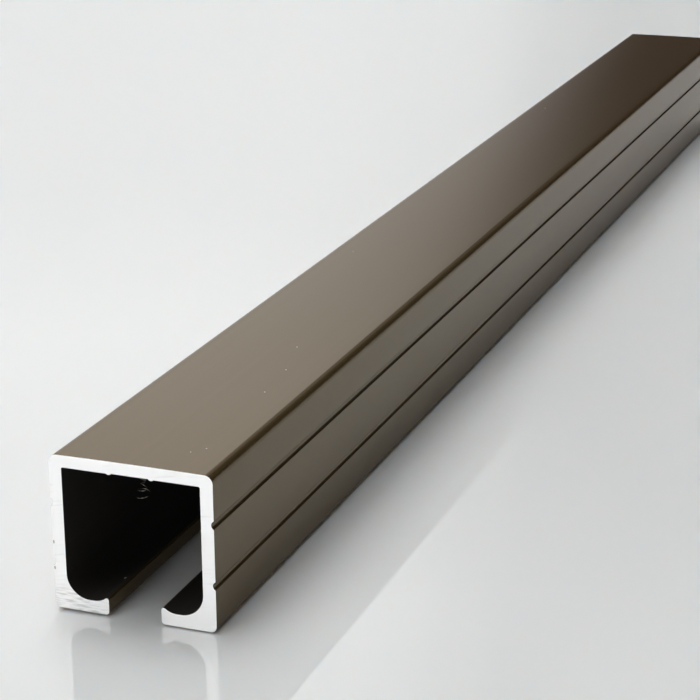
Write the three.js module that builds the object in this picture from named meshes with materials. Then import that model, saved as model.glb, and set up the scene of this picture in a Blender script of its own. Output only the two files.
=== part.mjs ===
// A cut length of box track for a top-hung sliding door: one aluminium extrusion.
//
// Its section is a C with the slot downwards. Two side walls hang from a flat top
// and turn in at the bottom as lips. The upper face of each lip is hollowed into a
// raceway for the tread of a roller, and ends at the slot in a raised, rounded nose.
// Each side wall has two shallow grooves along its outside. Under the top, two fine
// ridges mark out the strip where the fixing screws are drilled.
//
// The track runs along Y and lies on the undersides of its lips. The origin is in
// the middle of its length and width, on the floor. Lengths are in millimetres.

import * as THREE from "three";

// Driving dimensions

const trackLength = 440; // between the two saw cuts
const sectionWidth = 32; // over the side walls
const sectionHeight = 30; // from the undersides of the lips to the top face
const sideWall = 2.5; // thickness of each side wall
const topWall = 2.4; // thickness of the top
const lipThickness = 2.4; // thickness of each lip under its raceway
const slotWidth = 10.4; // between the noses of the two lips

const topCornerRadius = 1.6; // outside corners of the top
const footCornerRadius = 1.2; // outside corners at the floor
const ceilingCornerRadius = 0.3; // inside corners under the top
const slotCornerRadius = 0.7; // lower edges of the slot

const racewayWallRadius = 4.5; // from the bed of the raceway up into the side wall
const racewayNoseRadius = 4.0; // from the bed of the raceway up to the nose
const noseRise = 0.85; // height of the nose above the bed
const noseRadius = 0.45; // rounding of the nose

const grooveMouth = 1.6; // height of a side groove's mouth
const grooveDepth = 0.5;
const upperGrooveDrop = 9.35; // from the top face to the middle of the upper groove
const lowerGrooveRise = 9.05; // from the floor to the middle of the lower groove

const ridgeSpacing = 8.3; // between the middles of the two ridges under the top
const ridgeWidth = 1.0;
const ridgeHeight = 0.2;
const stripRecess = 0.08; // depth of the strip between the ridges

const arcDivisions = 8; // each arc is drawn with twice as many straight steps

// The radius of the arc that spans a chord and stands a given height from it.
const arcRadius = (chord, rise) => (chord * chord) / (8 * rise) + rise / 2;

// A shallow round groove in the right side wall, drawn from its upper edge to its lower.
function sideGroove(path, middleHeight) {
  const radius = arcRadius(grooveMouth, grooveDepth);
  const halfAngle = Math.asin(grooveMouth / 2 / radius);
  const centreX = sectionWidth / 2 - grooveDepth + radius;
  path.absarc(
    centreX, middleHeight, radius,
    Math.PI - halfAngle, Math.PI + halfAngle, false,
  );
}

// The nose of the right lip and the raceway behind it, drawn from the slot to the side wall.
// Both arcs of the raceway end level on its bed. The inner one also meets the nose smoothly.
function noseAndRaceway(path) {
  const wallX = sectionWidth / 2 - sideWall;
  const noseX = slotWidth / 2 + noseRadius;
  const noseZ = lipThickness + noseRise - noseRadius;

  const innerZ = lipThickness + racewayNoseRadius;
  const centreDistance = racewayNoseRadius + noseRadius;
  const innerRun = Math.sqrt(centreDistance ** 2 - (innerZ - noseZ) ** 2);
  const innerX = noseX + innerRun;
  const meetingAngle = Math.atan2(innerZ - noseZ, innerRun);
  const wallRadius = Math.min(racewayWallRadius, wallX - innerX);

  path.absarc(noseX, noseZ, noseRadius, Math.PI, meetingAngle, true);
  path.absarc(
    innerX, innerZ, racewayNoseRadius,
    meetingAngle - Math.PI, -Math.PI / 2, false,
  );
  path.absarc(
    wallX - wallRadius, lipThickness + wallRadius, wallRadius,
    -Math.PI / 2, 0, false,
  );
}

// The ridge under the right half of the top, and the recessed strip from it to the middle.
function drillingStrip(path) {
  const ceilingZ = sectionHeight - topWall;
  const radius = arcRadius(ridgeWidth, ridgeHeight);
  const halfAngle = Math.asin(ridgeWidth / 2 / radius);
  path.absarc(
    ridgeSpacing / 2, ceilingZ - ridgeHeight + radius, radius,
    -Math.PI / 2 + halfAngle, -Math.PI / 2 - halfAngle, true,
  );
  path.lineTo((ridgeSpacing - ridgeWidth) / 2, ceilingZ + stripRecess);
  path.lineTo(0, ceilingZ + stripRecess);
}

// The right half of the section, drawn clockwise from the middle of the top face
// round the outside, in over the lip and back under the top. Its two axes are X and Z.
function halfSection() {
  const halfWidth = sectionWidth / 2;
  const halfSlot = slotWidth / 2;
  const path = new THREE.Path();
  path.moveTo(0, sectionHeight);
  path.absarc(
    halfWidth - topCornerRadius, sectionHeight - topCornerRadius, topCornerRadius,
    Math.PI / 2, 0, true,
  );
  sideGroove(path, sectionHeight - upperGrooveDrop);
  sideGroove(path, lowerGrooveRise);
  path.absarc(
    halfWidth - footCornerRadius, footCornerRadius, footCornerRadius,
    0, -Math.PI / 2, true,
  );
  path.absarc(
    halfSlot + slotCornerRadius, slotCornerRadius, slotCornerRadius,
    -Math.PI / 2, -Math.PI, true,
  );
  noseAndRaceway(path);
  path.absarc(
    halfWidth - sideWall - ceilingCornerRadius,
    sectionHeight - topWall - ceilingCornerRadius,
    ceilingCornerRadius,
    0, Math.PI / 2, false,
  );
  drillingStrip(path);
  return path.getPoints(arcDivisions);
}

// The whole section: the right half and its mirror image, which share the two
// points on the middle plane.
function section() {
  const right = halfSection();
  const left = right
    .slice(1, -1)
    .reverse()
    .map((point) => new THREE.Vector2(-point.x, point.y));
  return new THREE.Shape([...right, ...left]);
}

// The extruder pushes the section along +Z, so it is turned upright and centred on Y.
function extrudedTrack() {
  const geometry = new THREE.ExtrudeGeometry(section(), {
    depth: trackLength,
    bevelEnabled: false,
  });
  geometry.rotateX(Math.PI / 2);
  geometry.translate(0, trackLength / 2, 0);
  return geometry;
}

const bronzeAnodised = new THREE.MeshStandardMaterial({
  color: 0x73675a,
  roughness: 0.42,
  metalness: 0.85,
});

const trackProfile = new THREE.Mesh(extrudedTrack(), bronzeAnodised);
trackProfile.name = "track_profile";

const model = new THREE.Group();
model.add(trackProfile);

export default model;
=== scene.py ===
# %% [markdown]
# # A cut length of box track
#
# The thing we dress here is one aluminium extrusion: the track that the rollers of a light
# sliding door run in. It was pushed through a die, dyed dark bronze in the anodising tank,
# and then sawn to length, so its skin is bronze and its two cut ends are bare bright metal.
#
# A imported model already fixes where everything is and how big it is. This lesson loads it,
# models the same section again with Blender's own edit-mode tools so that its curves are
# fine and its shading is clean, and gives each surface its finish. Every length is in metres.

# %% Load the fixed frame
import math

import bpy
from mathutils import Euler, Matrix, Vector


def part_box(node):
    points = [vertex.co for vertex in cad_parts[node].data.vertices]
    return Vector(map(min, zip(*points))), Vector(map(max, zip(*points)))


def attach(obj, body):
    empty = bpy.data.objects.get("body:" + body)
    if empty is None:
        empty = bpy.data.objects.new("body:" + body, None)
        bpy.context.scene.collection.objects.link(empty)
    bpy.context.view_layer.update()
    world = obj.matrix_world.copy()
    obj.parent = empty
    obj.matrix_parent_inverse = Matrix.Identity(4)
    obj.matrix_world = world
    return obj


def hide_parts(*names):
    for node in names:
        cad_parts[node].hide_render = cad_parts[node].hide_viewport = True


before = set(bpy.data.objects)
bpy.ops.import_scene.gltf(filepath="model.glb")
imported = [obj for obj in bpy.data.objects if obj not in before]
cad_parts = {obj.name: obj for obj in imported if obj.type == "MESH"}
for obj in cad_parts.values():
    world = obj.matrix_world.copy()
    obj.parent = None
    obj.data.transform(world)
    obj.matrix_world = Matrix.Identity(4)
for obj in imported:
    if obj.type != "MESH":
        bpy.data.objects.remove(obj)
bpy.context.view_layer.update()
low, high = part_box("track_profile")

MM = 0.001
WIDTH = high.x - low.x
LENGTH = high.y - low.y
HEIGHT = high.z - low.z
NEAR = low.y  # the cut end that faces the camera
print(f"the track is {WIDTH / MM:.1f} x {LENGTH / MM:.1f} x {HEIGHT / MM:.1f} mm")

# %% [markdown]
# ## The camera
#
# A product camera looks at such a bar from one end, a little to the right and from above, with
# a long lens, so that the section reads clearly and the rest runs away to the far corner.
# It could be aimed with a Track To constraint, but three angles say the same thing in one
# line and nothing moves by itself later: a turn to the left, a tilt down and a slight roll.

# %% Place the camera
CAMERA_PLACE = (157.299 * MM, NEAR - 305.102 * MM, 166.703 * MM)
CAMERA_TURN = math.radians(20.778)  # from straight along the bar towards its left
CAMERA_TILT = math.radians(18.758)  # below level
CAMERA_ROLL = math.radians(-0.376)
LENS = 107.833  # focal length in mm, on a 36 mm wide sensor

camera_data = bpy.data.cameras.new("camera")
camera_data.sensor_width = 36
camera_data.lens = LENS
camera_data.clip_start = 0.01
camera_data.clip_end = 200
camera = bpy.data.objects.new("camera", camera_data)
bpy.context.scene.collection.objects.link(camera)
aim = Euler((math.pi / 2 - CAMERA_TILT, 0, CAMERA_TURN)).to_matrix()
roll = Euler((0, 0, CAMERA_ROLL)).to_matrix()
camera.location = CAMERA_PLACE
camera.rotation_euler = (aim @ roll).to_euler()
bpy.context.scene.camera = camera
print(f"camera {camera.location.length:.3f} m from the middle of the bar")

# %% [markdown]
# ## Working in edit mode from a script
#
# Blender's operators act on whatever is selected, just as the mouse does. Three small helpers
# keep that tidy: one clears the selection before a new primitive is added, one enters edit
# mode, and one picks vertices by their place.

# %% Helpers for edit mode
SAME = 0.01 * MM  # lengths closer than this count as equal


def clear_selection():
    """Leave object mode with nothing selected."""
    if bpy.context.object and bpy.context.object.mode != "OBJECT":
        bpy.ops.object.mode_set(mode="OBJECT")
    bpy.ops.object.select_all(action="DESELECT")


def pick(piece, chosen, element="VERT"):
    """Select the vertices, edges or faces of a piece for which chosen(element) is true."""
    bpy.ops.object.mode_set(mode="EDIT")
    bpy.ops.mesh.select_mode(type=element)
    bpy.ops.mesh.select_all(action="DESELECT")
    bpy.ops.object.mode_set(mode="OBJECT")
    mesh = piece.data
    items = {"VERT": mesh.vertices, "EDGE": mesh.edges, "FACE": mesh.polygons}[element]
    count = 0
    for item in items:
        item.select = bool(chosen(item))
        count += item.select
    bpy.ops.object.mode_set(mode="EDIT")
    return count


def near(a, b):
    """Whether two lengths count as the same."""
    return abs(a - b) < SAME


print("helpers ready")

# %% [markdown]
# ## The section
#
# The section is a C with its slot downwards: a top, two side walls, and two lips whose upper
# faces are hollowed into raceways for the rollers. It could be cut out of a solid bar with
# booleans, one cutter for each hollow. We draw it instead, the way a die maker would: a
# single vertex is pulled along the outline, with *extrude* for each straight run and *spin*
# for each arc. Only the right half is drawn, because the left half is its mirror image.

# %% Sizes of the section
SIDE_WALL = 2.5 * MM
TOP_WALL = 2.4 * MM
LIP = 2.4 * MM
SLOT = 10.4 * MM

TOP_CORNER = 1.6 * MM
FOOT_CORNER = 1.2 * MM
SLOT_CORNER = 0.7 * MM
CEILING_CORNER = 0.3 * MM

WALL_ROUND = 4.5 * MM  # from the bed of a raceway up into the side wall
NOSE_ROUND = 4.0 * MM  # from the bed up to the nose
NOSE_RISE = 0.85 * MM
NOSE_TIP = 0.45 * MM

GROOVE_MOUTH = 1.6 * MM
GROOVE_DEPTH = 0.5 * MM
UPPER_GROOVE = HEIGHT - 9.35 * MM
LOWER_GROOVE = 9.05 * MM

RIDGE_PLACE = 4.15 * MM  # from the middle plane to the middle of a ridge
RIDGE_WIDTH = 1.0 * MM
RIDGE_HEIGHT = 0.2 * MM
STRIP_RECESS = 0.08 * MM

CROWN = 0.1 * MM  # the top is that much higher in the middle than at its edges


def arc_radius(chord, rise):
    """The radius of the arc over a chord that stands a given height from it."""
    return chord * chord / (8 * rise) + rise / 2


wall_x = WIDTH / 2 - SIDE_WALL
ceiling = HEIGHT - TOP_WALL
nose_x = SLOT / 2 + NOSE_TIP
nose_z = LIP + NOSE_RISE - NOSE_TIP
bed_z = LIP + NOSE_ROUND
bed_run = math.sqrt((NOSE_ROUND + NOSE_TIP) ** 2 - (bed_z - nose_z) ** 2)
bed_x = nose_x + bed_run
meeting = math.degrees(math.atan2(bed_z - nose_z, bed_run))
print(f"the nose meets the raceway at {meeting:.1f} degrees")

# %% [markdown]
# The pen is one selected vertex. `line_to` extrudes it to a new place, and `arc_about` spins
# it round a centre. Positive angles turn anticlockwise on the section as the camera sees it,
# with X to the right and Z up.

# %% The pen
ARC_STEP = 6  # degrees of arc to each straight step
pen = [0.0, 0.0]


def start_pen(x, z):
    """Begin an outline: a plane collapsed to a single vertex."""
    clear_selection()
    bpy.ops.mesh.primitive_plane_add(size=MM, location=(0, 0, 0))
    bpy.ops.object.mode_set(mode="EDIT")
    bpy.ops.mesh.select_mode(type="VERT")
    bpy.ops.mesh.select_all(action="SELECT")
    bpy.ops.mesh.merge(type="CENTER")
    bpy.ops.transform.translate(value=(x, NEAR, z))
    pen[:] = x, z
    return bpy.context.object


def line_to(x, z):
    """Pull the pen straight to a new place."""
    step = (x - pen[0], 0, z - pen[1])
    bpy.ops.mesh.extrude_vertices_move(TRANSFORM_OT_translate={"value": step})
    pen[:] = x, z


def arc_about(x, z, degrees, fewest=2):
    """Swing the pen round a centre, in that many steps or more."""
    turn = math.radians(degrees)
    steps = max(fewest, round(abs(degrees) / ARC_STEP))
    bpy.ops.mesh.spin(steps=steps, angle=turn, center=(x, NEAR, z), axis=(0, 1, 0))
    arm_x, arm_z = pen[0] - x, pen[1] - z
    pen[0] = x + arm_x * math.cos(turn) - arm_z * math.sin(turn)
    pen[1] = z + arm_x * math.sin(turn) + arm_z * math.cos(turn)


print("pen ready")

# %% [markdown]
# Two shallow grooves run along the outside of each wall, and under the top two fine ridges
# mark the strip where the fixing screws are drilled. Both are arcs over a known chord, so
# one function draws either: the chord is walked along, and the arc bulges from it.

# %% Draw the right half
CROWN_STEPS = 4


def side_groove(middle):
    """A shallow round groove in the side wall, from its upper edge to its lower."""
    radius = arc_radius(GROOVE_MOUTH, GROOVE_DEPTH)
    half = math.degrees(math.asin(GROOVE_MOUTH / 2 / radius))
    line_to(WIDTH / 2, middle + GROOVE_MOUTH / 2)
    arc_about(WIDTH / 2 - GROOVE_DEPTH + radius, middle, 2 * half)


def raceway():
    """The nose of the lip, the hollow behind it and its round up into the wall."""
    line_to(SLOT / 2, nose_z)
    arc_about(nose_x, nose_z, meeting - 180)
    arc_about(bed_x, bed_z, 90 - meeting)
    line_to(wall_x - WALL_ROUND, LIP)
    arc_about(wall_x - WALL_ROUND, LIP + WALL_ROUND, 90)


def drilling_strip():
    """The ridge under the right half of the top, and the shallow strip inside it."""
    radius = arc_radius(RIDGE_WIDTH, RIDGE_HEIGHT)
    half = math.degrees(math.asin(RIDGE_WIDTH / 2 / radius))
    line_to(RIDGE_PLACE + RIDGE_WIDTH / 2, ceiling)
    arc_about(RIDGE_PLACE, ceiling - RIDGE_HEIGHT + radius, -2 * half)
    line_to(RIDGE_PLACE - RIDGE_WIDTH / 2, ceiling + STRIP_RECESS)
    line_to(0, ceiling + STRIP_RECESS)


def crowned_top():
    """The right half of the top, which no press leaves perfectly flat."""
    radius = arc_radius(WIDTH, CROWN)
    half = math.degrees(math.asin(WIDTH / 2 / radius))
    arc_about(0, HEIGHT - radius, -half, CROWN_STEPS)


track = start_pen(0, HEIGHT)
track.name = "box_track"
crowned_top()
side_groove(UPPER_GROOVE)
side_groove(LOWER_GROOVE)
line_to(WIDTH / 2, 0)
line_to(SLOT / 2, 0)
raceway()
line_to(wall_x, ceiling)
drilling_strip()
bpy.ops.object.mode_set(mode="OBJECT")
print(f"the right half has {len(track.data.vertices)} points")

# %% [markdown]
# Mirroring the drawn half gives a closed ring, and filling it gives the section as one flat
# face. Its corners are still sharp. Rounding them now, as vertex bevels on a flat face, is
# easier than bevelling long edges afterwards, and it is where a die maker rounds them too.

# %% Mirror, fill and round the corners
CORNER_STEPS = 12
SMALL_CORNER_STEPS = 6
SEAM = 0.001 * MM  # points of the two halves closer than this become one


def apply_modifier(piece, kind, **settings):
    """Add one modifier, set it and apply it."""
    clear_selection()
    piece.select_set(True)
    bpy.context.view_layer.objects.active = piece
    modifier = piece.modifiers.new(kind.lower(), kind)
    for name, value in settings.items():
        setattr(modifier, name, value)
    bpy.ops.object.modifier_apply(modifier=modifier.name)


def round_corners(piece, x, z, radius, steps=CORNER_STEPS):
    """Round the corners of the flat section at a height and at equal distances each side."""
    found = pick(piece, lambda v: near(abs(v.co.x), x) and near(v.co.z, z))
    bpy.ops.mesh.bevel(offset=radius, segments=steps, profile=0.5, affect="VERTICES")
    return found


apply_modifier(track, "MIRROR", use_axis=(True, False, False), merge_threshold=SEAM)
bpy.ops.object.mode_set(mode="EDIT")
bpy.ops.mesh.select_all(action="SELECT")
bpy.ops.mesh.edge_face_add()

rounded = round_corners(track, WIDTH / 2, HEIGHT - CROWN, TOP_CORNER)
rounded += round_corners(track, WIDTH / 2, 0, FOOT_CORNER)
rounded += round_corners(track, SLOT / 2, 0, SLOT_CORNER)
rounded += round_corners(track, wall_x, ceiling, CEILING_CORNER, SMALL_CORNER_STEPS)
print(f"one face with {len(track.data.vertices)} points, {rounded} corners rounded")

# %% [markdown]
# ## The length
#
# Extruding the section is exactly what the press does. The saw then leaves an edge that is
# sharp but not perfect: it is broken by a few hundredths of a millimetre, which a small bevel
# round both ends gives. Without it the ends look cut from paper.

# %% Push the section through the die and break the sawn edges
SAWN_EDGE = 0.06 * MM

bpy.ops.mesh.select_all(action="SELECT")
bpy.ops.mesh.extrude_region_move(TRANSFORM_OT_translate={"value": (0, LENGTH, 0)})
bpy.ops.mesh.select_all(action="SELECT")
bpy.ops.mesh.normals_make_consistent(inside=False)


def round_an_end(piece):
    """A test for the edges that go round a cut end, and not along the bar."""
    place = [v.co.y for v in piece.data.vertices]
    return lambda edge: near(place[edge.vertices[0]], place[edge.vertices[1]])


bpy.ops.object.mode_set(mode="OBJECT")
sawn = pick(track, round_an_end(track), "EDGE")
bpy.ops.mesh.bevel(offset=SAWN_EDGE, segments=2, profile=0.5, affect="EDGES")
bpy.ops.object.mode_set(mode="OBJECT")
print(f"{sawn} sawn edges broken, {len(track.data.polygons)} faces")

# %% [markdown]
# Shading by angle keeps the grooves and the cut ends crisp and lets the round corners flow.
# The flats are single faces 440 mm long, and averaged corner normals would make them look
# swollen, so a Weighted Normal modifier lets each large flat decide its own direction.

# %% Shade the skin
CRISP_ANGLE = math.radians(32)
FLATS_DECIDE = 100  # the most that the modifier allows

clear_selection()
track.select_set(True)
bpy.context.view_layer.objects.active = track
bpy.ops.object.shade_smooth_by_angle(angle=CRISP_ANGLE)
apply_modifier(track, "WEIGHTED_NORMAL", keep_sharp=True, weight=FLATS_DECIDE)
print("shaded by angle, flats weighted")

# %% [markdown]
# ## The burr
#
# Where the blade came out, one thin curl of metal still hangs from the ceiling of the channel,
# just inside the cut. It could be a helix from the Screw modifier, but a real burr is never so
# even. Here a short edge is extruded a little at a time, and after each step it is turned,
# lowered, and moved in or out, so the ribbon tightens and opens as it goes. It is a piece of
# its own, so that it can be left out.

# %% Roll the burr
BURR_STEPS = 58
BURR_TURN = math.radians(24)  # from one step to the next
BURR_DROP = 0.072 * MM
BURR_DRIFT = 0.055 * MM
BURR_RADIUS = 0.6 * MM
BURR_WIDTH = 0.17 * MM
BURR_THICKNESS = 0.03 * MM
BURR_X = 1.55 * MM
BURR_Y = NEAR + 2.2 * MM
BURR_TOP = ceiling + STRIP_RECESS
DRIFT_PACE, SWAY_PACE, DROP_PACE = 0.23, 0.41, 0.29  # radians of each wave to a step
SWAY_START = 1.0
UNEVEN = 0.7  # share by which the drop varies

burr = start_pen(BURR_X + BURR_RADIUS, BURR_TOP)
burr.name = "saw_burr"
line_to(BURR_X + BURR_RADIUS, BURR_TOP - BURR_WIDTH)
bpy.ops.mesh.select_all(action="SELECT")
bpy.ops.transform.translate(value=(0, BURR_Y - NEAR, 0))
for step in range(BURR_STEPS):
    drift = BURR_DRIFT * math.sin(DRIFT_PACE * step)
    sway = BURR_DRIFT * math.sin(SWAY_PACE * step + SWAY_START)
    drop = BURR_DROP * (1 + UNEVEN * math.sin(DROP_PACE * step))
    centre = (BURR_X, BURR_Y, BURR_TOP)
    bpy.ops.mesh.extrude_edges_move(TRANSFORM_OT_translate={"value": (drift, sway, -drop)})
    bpy.ops.transform.rotate(value=BURR_TURN, orient_axis="Z", center_override=centre)
bpy.ops.object.mode_set(mode="OBJECT")
low_z = min(v.co.z for v in burr.data.vertices)
print(f"the burr hangs {(BURR_TOP - low_z) / MM:.1f} mm, {len(burr.data.polygons)} faces")

apply_modifier(burr, "SOLIDIFY", thickness=BURR_THICKNESS, offset=0)
apply_modifier(burr, "SUBSURF", levels=1, render_levels=1)
clear_selection()
burr.select_set(True)
bpy.ops.object.shade_smooth()

# %% [markdown]
# ## Node helpers
#
# A material is a small circuit. `put` adds one node, sets it and feeds its inputs: a value is
# written on the socket, and another node's output is linked to it. The helpers after it do
# arithmetic on numbers and on vectors, and take a vector apart.

# %% Node helpers
def feed(tree, made, inputs):
    """Give a node its inputs, by name or number: each is a value or another node's output."""
    for name, value in (inputs or {}).items():
        if isinstance(value, bpy.types.NodeSocket):
            tree.links.new(value, made.inputs[name])
        else:
            made.inputs[name].default_value = value
    return made


def put(tree, kind, inputs=None, **settings):
    """Add a node to a tree."""
    made = tree.nodes.new("ShaderNode" + kind)
    for name, value in settings.items():
        setattr(made, name, value)
    return feed(tree, made, inputs)


def sums(tree, operation, *values):
    """One Math node. Returns its output."""
    return put(tree, "Math", dict(enumerate(values)), operation=operation).outputs[0]


def vector_sums(tree, operation, *values):
    """One Vector Math node. Returns its vector, or its value where the answer is a number."""
    made = put(tree, "VectorMath", dict(enumerate(values)), operation=operation)
    return made.outputs["Value" if operation in ("LENGTH", "DOT_PRODUCT") else "Vector"]


def axes(tree, vector):
    """The three parts of a vector."""
    return put(tree, "SeparateXYZ", {0: vector}).outputs


print("node helpers ready")

# %% [markdown]
# Patterns are built from a few things over and over: a ramp between two limits, a mix of two
# colours, a noise, the place on the piece, and a soft spot at a chosen place.

# %% Helpers for patterns
SPOT_CORE = 0.7  # of a soft spot's radius


def ramp(tree, value, start, end, low_value=0.0, high_value=1.0):
    """A smooth step between two limits. Returns its output."""
    limits = {0: value, 1: start, 2: end, 3: low_value, 4: high_value}
    return put(tree, "MapRange", limits, interpolation_type="SMOOTHSTEP").outputs[0]


def blend(tree, mask, first, second):
    """A mix of two colours by a mask. Returns its output."""
    return put(tree, "Mix", {0: mask, 6: first, 7: second}, data_type="RGBA").outputs[2]


def noise(tree, vector, scale, detail):
    """A noise texture. Returns its value."""
    inputs = {"Vector": vector, "Scale": scale, "Detail": detail}
    return put(tree, "TexNoise", inputs).outputs[0]


def place_on_piece(tree):
    """Where a point lies on the piece, in metres."""
    return put(tree, "TexCoord").outputs["Object"]


def soft_spot(tree, place, centre, scale, rim):
    """1 inside the core, 0 outside the rim. Distances are scaled along each axis first."""
    away = vector_sums(tree, "SUBTRACT", place, centre)
    reach = vector_sums(tree, "LENGTH", vector_sums(tree, "MULTIPLY", away, scale))
    return ramp(tree, reach, rim, SPOT_CORE)


print("pattern helpers ready")

# %% [markdown]
# Patterns that stand on their own go into node groups, which put out masks and values only.
# The shader itself stays in its material, where the last helper links it up.

# %% Helpers for groups and materials
def new_group(name, inputs, outputs, vectors=()):
    """A shader node group with named sockets. Returns the tree, its input and output nodes."""
    tree = bpy.data.node_groups.new(name, "ShaderNodeTree")
    for socket, default in inputs.items():
        made = tree.interface.new_socket(socket, in_out="INPUT", socket_type="NodeSocketFloat")
        made.default_value = default
    for socket in outputs:
        tree.interface.new_socket(socket, in_out="OUTPUT", socket_type="NodeSocketFloat")
    for socket in vectors:
        tree.interface.new_socket(socket, in_out="INPUT", socket_type="NodeSocketVector")
    return tree, tree.nodes.new("NodeGroupInput"), tree.nodes.new("NodeGroupOutput")


def use_group(tree, group, inputs=None):
    """Place a node group in a tree."""
    made = tree.nodes.new("ShaderNodeGroup")
    made.node_tree = group
    return feed(tree, made, inputs)


def socket_names(group):
    """The names of a group's sockets, for the printed lines."""
    return ", ".join(item.name for item in group.interface.items_tree)


def new_material(name, roughness=0.5):
    """A material with its Principled shader."""
    material = bpy.data.materials.new(name)
    material.use_nodes = True
    shader = material.node_tree.nodes["Principled BSDF"]
    shader.inputs["Roughness"].default_value = roughness
    return material, material.node_tree, shader


def wire(tree, shader, **sockets):
    """Link outputs to the shader's own sockets; an underscore in a name stands for a space."""
    for name, output in sockets.items():
        tree.links.new(output, shader.inputs[name.replace("_", " ")])


print("group and material helpers ready")

# %% [markdown]
# ## Die lines
#
# The die leaves very fine straight lines the whole length of a bar, and anodising keeps them.
# They could be a wave texture, but real ones have no rhythm. Noise squeezed hard across the
# bar and stretched along it gives streaks that start and stop as the real ones do. The group
# puts out two values: fine lines, for the relief and the roughness, and a broad drift across
# the bar, which shifts the colour a little.

# %% The die-line group
DRIFT_SCALE = 0.09  # of the fine lines' own

die_lines, lines_in, lines_out = new_group(
    "die_lines", {"Across": 1500.0, "Along": 3.0}, ["Lines", "Drift"]
)
across = lines_in.outputs["Across"]
along = lines_in.outputs["Along"]
stretch = put(die_lines, "CombineXYZ", {0: across, 1: along, 2: across}).outputs[0]
squeezed = vector_sums(die_lines, "MULTIPLY", place_on_piece(die_lines), stretch)
die_lines.links.new(noise(die_lines, squeezed, 1.0, 3.0), lines_out.inputs["Lines"])
die_lines.links.new(noise(die_lines, squeezed, DRIFT_SCALE, 2.0), lines_out.inputs["Drift"])
print("die lines:", socket_names(die_lines))

# %% [markdown]
# ## Dust
#
# A few pale specks of saw dust lie on the bar. Each cell of a Voronoi texture holds at most
# one speck; the cell's own random colour decides whether it has one and how big it is. The
# cells are laid out in plan, because dust settles from above, and for the same reason the
# group multiplies by how far the surface faces up.

# %% The dust group
STEEP, LEVEL_ENOUGH = 0.5, 0.9  # how far up a face looks: dust slides off, and dust lies

dust_specks, dust_in, dust_out = new_group(
    "dust_specks", {"Cells per metre": 90.0, "Share": 0.08, "Size": 0.014}, ["Mask"]
)
place = place_on_piece(dust_specks)
cells = put(
    dust_specks,
    "TexVoronoi",
    {"Vector": place, "Scale": dust_in.outputs["Cells per metre"]},
    voronoi_dimensions="2D",
)
chance = put(dust_specks, "SeparateColor", {0: cells.outputs["Color"]})
chosen = sums(dust_specks, "LESS_THAN", chance.outputs[0], dust_in.outputs["Share"])
reach = sums(dust_specks, "MULTIPLY", chance.outputs[1], dust_in.outputs["Size"])
inside = sums(dust_specks, "LESS_THAN", cells.outputs["Distance"], reach)
up = axes(dust_specks, put(dust_specks, "NewGeometry").outputs["Normal"])[2]
settled = ramp(dust_specks, up, STEEP, LEVEL_ENOUGH)
speck = sums(dust_specks, "MULTIPLY", sums(dust_specks, "MULTIPLY", chosen, inside), settled)
print("dust specks:", socket_names(dust_specks))

# %% [markdown]
# Sawing also throws a few larger crumbs near the cut. A random texture can't be told where
# to put them, so each one is a small ball of its own, at a listed place: five on the top and one
# inside the channel, on the left lip. The distance upwards counts for less than the others,
# so that a crumb on a rounded face is drawn out a little down its slope.

# %% Six listed crumbs
CRUMBS = (  # across, along from the near end, up and radius, all in millimetres
    (-7.05, 10.35, 2.6, 0.25),
    (7.7, 9.1, 30, 0.12),
    (9.6, 11.7, 30, 0.15),
    (7.9, 42.4, 30, 0.15),
    (6.84, 55.7, 30, 0.17),
    (3.65, 69.4, 30, 0.15),
)
CRUMB_RIM = 1.3  # in radii
UPWARDS = 0.3  # what a distance upwards counts for

for across, along, up, radius in CRUMBS:
    centre = (across * MM, NEAR + along * MM, up * MM)
    to_radii = 1 / (radius * MM)
    scale = (to_radii, to_radii, UPWARDS * to_radii)
    crumb = soft_spot(dust_specks, place, centre, scale, CRUMB_RIM)
    speck = sums(dust_specks, "MAXIMUM", speck, crumb)
dust_specks.links.new(speck, dust_out.inputs["Mask"])
print(f"{len(CRUMBS)} crumbs on the bar")

# %% [markdown]
# ## Inside the channel
#
# Inside the channel the bar was never brushed, so its walls are duller than the skin outside,
# and they are painted darker as well: painted shade for the enclosed hollow. One group finds the
# inside from the section
# itself: anything nearer the middle than the outer walls, below the top and above the lips.
# The two faces of the slot are outside skin and stay out of it.

# %% The channel group
WALL_FROM, WALL_TO = 1.0 * MM, 2.0 * MM  # depths in the wall between which the mask comes in
SLOT_FROM, SLOT_TO = 0.2 * MM, 0.5 * MM  # and how far from the slot
LIP_FROM, LIP_TO = 0.5 * LIP, 0.75 * LIP  # and how high in the lip

channel_inside, unused, channel_out = new_group("channel_inside", {}, ["Mask"])
place = axes(channel_inside, place_on_piece(channel_inside))
aside = sums(channel_inside, "ABSOLUTE", place[0])
within = ramp(channel_inside, aside, WIDTH / 2 - WALL_FROM, WIDTH / 2 - WALL_TO)
below = ramp(channel_inside, place[2], HEIGHT - WALL_FROM, HEIGHT - WALL_TO)
behind_nose = ramp(channel_inside, aside, SLOT / 2 + SLOT_FROM, SLOT / 2 + SLOT_TO)
over_nose = ramp(channel_inside, place[2], nose_z + NOSE_TIP, nose_z + 2 * NOSE_TIP)
over_lip = ramp(channel_inside, place[2], LIP_FROM, LIP_TO)
behind_nose = sums(channel_inside, "MULTIPLY", behind_nose, over_lip)
past_slot = sums(channel_inside, "MAXIMUM", behind_nose, over_nose)
inside = sums(channel_inside, "MULTIPLY", sums(channel_inside, "MULTIPLY", within, below), past_slot)
channel_inside.links.new(inside, channel_out.inputs["Mask"])
channel_inside.nodes.remove(unused)
print("channel inside:", socket_names(channel_inside))
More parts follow.
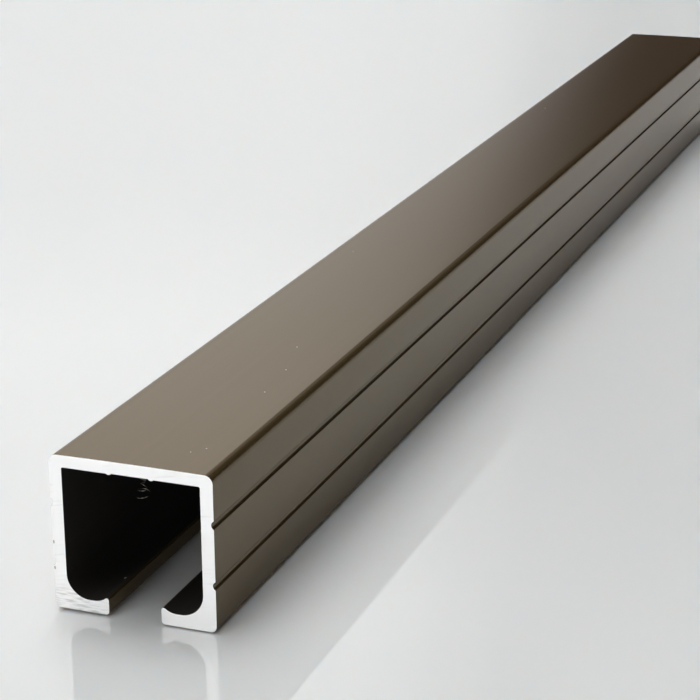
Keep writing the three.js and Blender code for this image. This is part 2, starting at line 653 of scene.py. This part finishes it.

# %% [markdown]
# ## Bronze anodising
#
# Anodised aluminium is metal under a thin clear layer of oxide that holds the dye. It could
# be a pure metal or a varnished paint; neither is right alone. Half metal and half dielectric
# over one dark brown gives both things the real skin does: straight on it is deep brown, and
# along the bar it takes on the grey of whatever it reflects.
#
# The colour is made a little darker and redder towards
# the far end of the bar.

# %% The bronze skin
BRONZE = (0.104, 0.0687, 0.028, 1)
BRONZE_LIGHT = (0.107, 0.0717, 0.030, 1)
BRONZE_DEEP = (0.093, 0.054, 0.023, 1)
# painted shade: the colour the channel's walls are painted for the dark of the hollow
CHANNEL_PAINTED_SHADE = (0.027, 0.024, 0.022, 1)
DUST = (0.62, 0.60, 0.56, 1)
WARM_GLOSS = (1.0, 0.975, 0.93, 1)
DEEPER_FROM, DEEPEST_AT = NEAR + 100 * MM, NEAR + 380 * MM
ROUGH_LEAST, ROUGH_MOST = 0.22, 0.24
DULL_INSIDE = 0.5  # added to the roughness in the channel
DUST_ROUGH = 0.9
METAL_SHARE = 0.55
LINE_RELIEF = {"Strength": 0.015, "Distance": 0.01 * MM}

bronze, tree, skin = new_material("bronze_anodised", 0.23)
skin.inputs["Specular Tint"].default_value = WARM_GLOSS
lines = use_group(tree, die_lines)
dust = use_group(tree, dust_specks).outputs["Mask"]
channel = use_group(tree, channel_inside).outputs["Mask"]

tone = blend(tree, ramp(tree, lines.outputs["Drift"], 0.35, 0.65), BRONZE, BRONZE_LIGHT)
along = axes(tree, place_on_piece(tree))[1]
tone = blend(tree, ramp(tree, along, DEEPER_FROM, DEEPEST_AT), tone, BRONZE_DEEP)
# painted shade: the inside of the channel is painted darker than the skin
tone = blend(tree, channel, tone, CHANNEL_PAINTED_SHADE)
tone = blend(tree, dust, tone, DUST)

sheen = ramp(tree, lines.outputs["Lines"], 0.3, 0.7, ROUGH_LEAST, ROUGH_MOST)
duller = sums(tree, "MULTIPLY_ADD", channel, DULL_INSIDE, sheen)
rough = sums(tree, "MAXIMUM", duller, sums(tree, "MULTIPLY", dust, DUST_ROUGH))

metal = sums(tree, "MULTIPLY_ADD", dust, -METAL_SHARE, METAL_SHARE)
relief = put(tree, "Bump", {**LINE_RELIEF, "Height": lines.outputs["Lines"]}).outputs[0]
wire(tree, skin, Base_Color=tone, Roughness=rough, Metallic=metal, Normal=relief)
print("bronze skin:", len(tree.nodes), "nodes")

# %% [markdown]
# ## The saw cut
#
# The blade leaves bare aluminium with very fine arcs across it, all struck about the blade's
# own centre, far below the bar, so that they look nearly level. A noise that is read along
# the distance from that centre draws them. A second, broad noise lets them come and go,
# because a sharp blade leaves some places almost polished.

# %% The saw-mark group
BLADE_CENTRE = (0.07, 0, -0.34)
WANDER_SCALE, WANDER = 130.0, 1.2  # how the rings stray: waves to a metre, and rings
PATCH_SCALE = 210.0
FAINTEST = 0.1  # what is left of a mark in the polished places

saw_marks, saw_in, saw_out = new_group(
    "saw_marks", {"Rings per metre": 1500.0}, ["Height", "Scuffs and shade", "Dent shade"]
)
place = place_on_piece(saw_marks)
flat = vector_sums(saw_marks, "MULTIPLY", place, (1, 0, 1))
arm = vector_sums(saw_marks, "SUBTRACT", flat, BLADE_CENTRE)
reach = vector_sums(saw_marks, "LENGTH", arm)
ring = sums(saw_marks, "MULTIPLY", reach, saw_in.outputs["Rings per metre"])
wander = noise(saw_marks, place, WANDER_SCALE, 1.0)
ring = sums(saw_marks, "ADD", ring, sums(saw_marks, "MULTIPLY", wander, WANDER))
marks = put(saw_marks, "TexNoise", {"W": ring, "Scale": 1.0, "Detail": 3.0}, noise_dimensions="1D")
deep = ramp(saw_marks, noise(saw_marks, place, PATCH_SCALE, 3.0), 0.4, 0.7, FAINTEST, 1.0)
height = sums(saw_marks, "MULTIPLY", sums(saw_marks, "SUBTRACT", marks.outputs[0], 0.5), deep)
saw_marks.links.new(height, saw_out.inputs["Height"])
print("saw marks:", socket_names(saw_marks))

# %% [markdown]
# The cut has been handled since. Its left foot has been dragged over a bench, which left
# short level scuffs: noise again, squeezed upwards and kept to that foot, and their darker colour is
# partly painted shade on that foot. Two small dents in the outer edge of the left wall are painted
# shade alone: soft dark ovals, taller than they are wide, with no relief.

# %% Scuffs and dents on the cut, partly painted shade
SCUFFS_PER_METRE = (330.0, 0, 2700.0)
FOOT_FROM, FOOT_TO = -4.5 * MM, -8 * MM  # sideways, where the scuffs begin and are full
FOOT_TOP, FOOT_FULL = 5.5 * MM, 3 * MM  # and the same upwards
DENTS = ((-15.77 * MM, 0, 12.88 * MM), (-15.82 * MM, 0, 7.79 * MM))
DENT_SCALE = (1 / (0.16 * MM), 0, 1 / (0.38 * MM))  # one over its half width and half height
DENT_RIM = 1.2

squeezed = vector_sums(saw_marks, "MULTIPLY", place, SCUFFS_PER_METRE)
scratch = noise(saw_marks, squeezed, 1.0, 4.0)
spot = axes(saw_marks, place)
at_left = ramp(saw_marks, spot[0], FOOT_FROM, FOOT_TO)
low_down = ramp(saw_marks, spot[2], FOOT_TOP, FOOT_FULL)
left_foot = sums(saw_marks, "MULTIPLY", at_left, low_down)
scuffs_and_shade = sums(saw_marks, "MULTIPLY", ramp(saw_marks, scratch, 0.4, 0.7), left_foot)
saw_marks.links.new(scuffs_and_shade, saw_out.inputs["Scuffs and shade"])

dent_shade = 0.0
for centre in DENTS:
    dent = soft_spot(saw_marks, place, centre, DENT_SCALE, DENT_RIM)
    dent_shade = sums(saw_marks, "MAXIMUM", dent, dent_shade)
saw_marks.links.new(dent_shade, saw_out.inputs["Dent shade"])
print(f"scuffs and {len(DENTS)} dents")

# %% [markdown]
# The cut is pure metal, and rough enough to look evenly grey. The marks lower its colour and
# shift its roughness a little as well as its relief, because a groove lies in its own shade.
# Scuffs are darker still, partly as painted shade, and the dents are painted shade alone.

# %% The bare metal of the cut ends
BARE = (0.89, 0.89, 0.89, 1)
BARE_SHADE = (0.83, 0.83, 0.83, 1)
# real scuffs, and in part painted shade that darkens the left foot
SCUFFED_AND_SHADED = (0.62, 0.62, 0.61, 1)
# painted shade of the two dents, which have no relief
DENT_PAINTED_SHADE = (0.4, 0.39, 0.38, 1)
MARK_RELIEF = {"Strength": 0.08, "Distance": 0.03 * MM}

bare, tree, cut = new_material("bare_aluminium", 0.5)
cut.inputs["Metallic"].default_value = 1.0
sawn = use_group(tree, saw_marks).outputs
marks = sawn["Height"]
tone = blend(tree, ramp(tree, marks, 0.02, 0.22), BARE, BARE_SHADE)
# the scuffs, partly painted shade, and the painted shade of the dents
tone = blend(tree, sawn["Scuffs and shade"], tone, SCUFFED_AND_SHADED)
tone = blend(tree, sawn["Dent shade"], tone, DENT_PAINTED_SHADE)
rough = ramp(tree, marks, -0.15, 0.15, 0.46, 0.54)
relief = put(tree, "Bump", {**MARK_RELIEF, "Height": marks}).outputs[0]
wire(tree, cut, Base_Color=tone, Roughness=rough, Normal=relief)
print("bare aluminium:", len(tree.nodes), "nodes")

# %% [markdown]
# The burr was torn, not cut, and its metal is painted much darker than the saw cut: painted shade
# for the dark channel it hangs in. It took some of the dyed skin with it, which shows as darker
# stretches along it.

# %% The torn metal of the burr
# painted shade: the burr's metal is painted dark for its place in the dark channel
TORN_IN_PAINTED_SHADE = (0.15, 0.145, 0.14, 1)
TORN_SKIN = (0.03, 0.026, 0.022, 1)
SHREDS_PER_METRE = 900.0

torn, tree, shader = new_material("torn_aluminium", 0.45)
shader.inputs["Metallic"].default_value = 1.0
patches = noise(tree, place_on_piece(tree), SHREDS_PER_METRE, 2.0)
tone = blend(tree, ramp(tree, patches, 0.42, 0.56), TORN_IN_PAINTED_SHADE, TORN_SKIN)
wire(tree, shader, Base_Color=tone, Roughness=ramp(tree, patches, 0.3, 0.7, 0.35, 0.6))
burr.data.materials.append(torn)
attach(burr, "root")
print("torn metal:", len(tree.nodes), "nodes")

# %% [markdown]
# The skin runs over the outer half of the broken edge, where the blade rolled it, and the
# inner half is bare like the cut itself. A face belongs to the cut if it looks along the bar
# more than sideways.

# %% Give the faces their finish
CUT_LOOKS_ALONG = 0.75

track.data.materials.append(bronze)
track.data.materials.append(bare)
for face in track.data.polygons:
    face.material_index = int(abs(face.normal.y) > CUT_LOOKS_ALONG)
on_cut = sum(face.material_index for face in track.data.polygons)
print(f"{on_cut} faces of bare metal, {len(track.data.polygons) - on_cut} of bronze")

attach(track, "root")
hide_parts("track_profile")

# %% [markdown]
# ## The floor
#
# The bar lies on a pale, glossy sheet, such as opal acrylic. Two shaders are added together:
# a milky one for the body of the sheet, in which light creeps a millimetre or so sideways and
# softens the line of contact, and a clear mirror on top of it whose strength follows the
# Fresnel law, held down a little where one looks along the sheet. Red light creeps further
# than blue in such a sheet, which tints the shade beside the bar. A single Principled shader
# would also do, but it darkens the sheet towards the horizon.

# %% Lay the floor
FLOOR_RADIUS = 40.0
FLOOR_TONE = (0.612, 0.625, 0.624, 1)
FLOOR_GAP = 0.35 * MM  # the bar is a hair out of straight and stands on its burrs
FLOOR_LEAN = math.radians(-0.35)  # and a hair higher on its left
LIGHT_CREEP = (1.7 * MM, 1.25 * MM, 0.7 * MM)  # how far red, green and blue wander
ACRYLIC_IOR = 1.5
MIRROR_LIMIT = 0.2
POLISH = 0.03  # roughness of the mirror

clear_selection()
bpy.ops.mesh.primitive_circle_add(
    vertices=128, radius=FLOOR_RADIUS, fill_type="NGON", location=(0, 0, -FLOOR_GAP)
)
floor = bpy.context.object
floor.name = "floor"
floor.rotation_euler.y = FLOOR_LEAN
acrylic, tree, unused = new_material("white_acrylic")
tree.nodes.remove(unused)
body = put(
    tree,
    "SubsurfaceScattering",
    {"Color": FLOOR_TONE, "Scale": 1.0, "Radius": LIGHT_CREEP},
    falloff="BURLEY",
)
fresnel = put(tree, "Fresnel", {"IOR": ACRYLIC_IOR}).outputs[0]
mirror = sums(tree, "MINIMUM", fresnel, MIRROR_LIMIT)
face = put(tree, "BsdfGlossy", {"Color": mirror, "Roughness": POLISH})
both = put(tree, "AddShader", {0: body.outputs[0], 1: face.outputs[0]}).outputs[0]
tree.links.new(both, tree.nodes["Material Output"].inputs["Surface"])
floor.data.materials.append(acrylic)
print(f"floor laid {FLOOR_GAP / MM:.2f} mm below the bar")

# %% [markdown]
# ## Light
#
# The studio is a dark room with soft light let into it: two broad lights overhead, a flat
# panel that stands behind the bar to the left, and two low glows in front. One of these lights
# the cut end; the other is nearly level, and reaches through the slot to the floor inside it.
# Three weaker ones on and beside the panel keep its reflection from ending too suddenly.
#
# Area lamps could do this. Built into the world instead, they keep the floor evenly lit
# however far one looks, and each reflection on the bar is a matter of direction alone. Each
# round light is full inside one angle and fades out towards another.

# %% The round soft light
soft_light, soft_in, soft_out = new_group(
    "soft_light", {"Inner": 0.9, "Outer": 0.5, "Strength": 1.0}, ["Light"], ["Sky", "Centre"]
)
facing = vector_sums(soft_light, "DOT_PRODUCT", soft_in.outputs["Sky"], soft_in.outputs["Centre"])
limits = {0: facing, 1: soft_in.outputs["Outer"], 2: soft_in.outputs["Inner"]}
glow = put(soft_light, "MapRange", limits).outputs[0]
glow = sums(soft_light, "MULTIPLY", glow, soft_in.outputs["Strength"])
soft_light.links.new(glow, soft_out.inputs["Light"])
print("soft light:", socket_names(soft_light))

# %% [markdown]
# The panel is measured on a sheet that stands square across the far end of the bar, one step
# away. A direction meets that sheet so far to the left and so high up, in steps. The panel's
# right edge leans, its top is level, and a softness says how gently each edge fades.

# %% The standing panel
BARELY_AHEAD = 0.001  # keeps the divisions away from zero

panel, panel_in, panel_out = new_group(
    "standing_panel",
    {"Right": 0.2, "Left": 0.84, "Lean": 0.157, "Top": 0.74, "Softness": 0.01, "Strength": 1.0},
    ["Light"],
    ["Sky"],
)
sky = axes(panel, panel_in.outputs["Sky"])
ahead = sums(panel, "MAXIMUM", sky[1], BARELY_AHEAD)
leftward = sums(panel, "DIVIDE", sums(panel, "MULTIPLY", sky[0], -1.0), ahead)
upward = sums(panel, "DIVIDE", sky[2], ahead)
softness = panel_in.outputs["Softness"]


def inside_edge(value, edge):
    """1 well above an edge, 0 well below it, and a soft step between."""
    start = sums(panel, "SUBTRACT", edge, softness)
    return ramp(panel, value, start, sums(panel, "ADD", edge, softness))


lean = sums(panel, "MULTIPLY", upward, panel_in.outputs["Lean"])
glow = inside_edge(leftward, sums(panel, "ADD", panel_in.outputs["Right"], lean))
glow = sums(panel, "MULTIPLY", glow, inside_edge(panel_in.outputs["Left"], leftward))
glow = sums(panel, "MULTIPLY", glow, inside_edge(panel_in.outputs["Top"], upward))
glow = sums(panel, "MULTIPLY", glow, panel_in.outputs["Strength"])
panel.links.new(glow, panel_out.inputs["Light"])
print("standing panel:", socket_names(panel))

# %% [markdown]
# The panel is lit from its own left, so it is four panels in one: a plain one with a crisp
# edge, and three that grow brighter gently behind that edge.

# %% Light the studio
world = bpy.data.worlds.new("studio")
bpy.context.scene.world = world
world.use_nodes = True
tree = world.node_tree
sky = put(tree, "TexCoord").outputs["Generated"]


def sky_light(turn, rise, full, fade, strength):
    """A soft patch of light: where it is, where it is full and where it ends, in degrees."""
    level = math.cos(math.radians(rise))
    centre = (
        -math.sin(math.radians(turn)) * level,
        math.cos(math.radians(turn)) * level,
        math.sin(math.radians(rise)),
    )
    inputs = {
        "Sky": sky,
        "Centre": centre,
        "Inner": math.cos(math.radians(full)),
        "Outer": math.cos(math.radians(fade)),
        "Strength": strength,
    }
    return use_group(tree, soft_light, inputs).outputs["Light"]


def panel_light(right, softness, strength):
    """The standing panel, from a right edge of that softness."""
    inputs = {"Sky": sky, "Right": right, "Softness": softness, "Strength": strength}
    return use_group(tree, panel, inputs).outputs["Light"]


ROOM = 0.004  # what is left of the light in the dark room
lights = [
    sky_light(turn=33, rise=66, full=8, fade=26, strength=4.2),  # overhead, further back
    sky_light(turn=110, rise=80, full=12, fade=32, strength=2.52),  # overhead
    sky_light(turn=156, rise=11, full=12, fade=37, strength=2.7),  # low glow in front
    sky_light(turn=-165, rise=3, full=5, fade=20, strength=6.0),  # level light into the slot
    sky_light(turn=28, rise=30, full=5, fade=16, strength=0.56),  # glow on the panel
    sky_light(turn=6, rise=32, full=2, fade=10, strength=0.5),  # small glow beside the panel
    sky_light(turn=-6, rise=30, full=3, fade=14, strength=0.12),  # and its faint surroundings
    panel_light(right=0.226, softness=0.006, strength=0.19),
    panel_light(right=0.26, softness=0.02, strength=0.39),
    panel_light(right=0.305, softness=0.055, strength=0.20),
    panel_light(right=0.36, softness=0.05, strength=0.07),
]
total = ROOM
for light in lights:
    total = sums(tree, "ADD", light, total)
print(f"{len(lights)} soft lights in the sky")

# %% [markdown]
# Lights alone would leave the room black wherever the camera sees past the floor. The camera,
# and anything seen through glass, gets a plain pale backdrop instead, and so does a polished
# face close to the horizon. Light Path tells these rays from those that light the scene.

# %% Hang the pale backdrop
BACKDROP = 0.8
HORIZON = math.sin(math.radians(1))
HORIZON_END = math.sin(math.radians(3.5))

path = put(tree, "LightPath").outputs
seen = sums(tree, "MAXIMUM", path["Is Camera Ray"], path["Is Transmission Ray"])
height = axes(tree, sky)[2]
low_down = ramp(tree, height, HORIZON, HORIZON_END, 1.0, 0.0)
mirrored = sums(tree, "MULTIPLY", path["Is Glossy Ray"], low_down)
seen = sums(tree, "MAXIMUM", seen, mirrored)
room_light = sums(tree, "MULTIPLY", total, sums(tree, "SUBTRACT", 1.0, seen))
background = tree.nodes["Background"]
background.inputs["Color"].default_value = (1, 1, 1, 1)
tree.links.new(sums(tree, "MULTIPLY_ADD", seen, BACKDROP, room_light), background.inputs["Strength"])
print("backdrop:", BACKDROP)

# %% [markdown]
# ## Finish
#
# The colours are shown as they are, with no film look on top.

# %% Finish
bpy.context.scene.view_settings.view_transform = "Standard"

clear_selection()
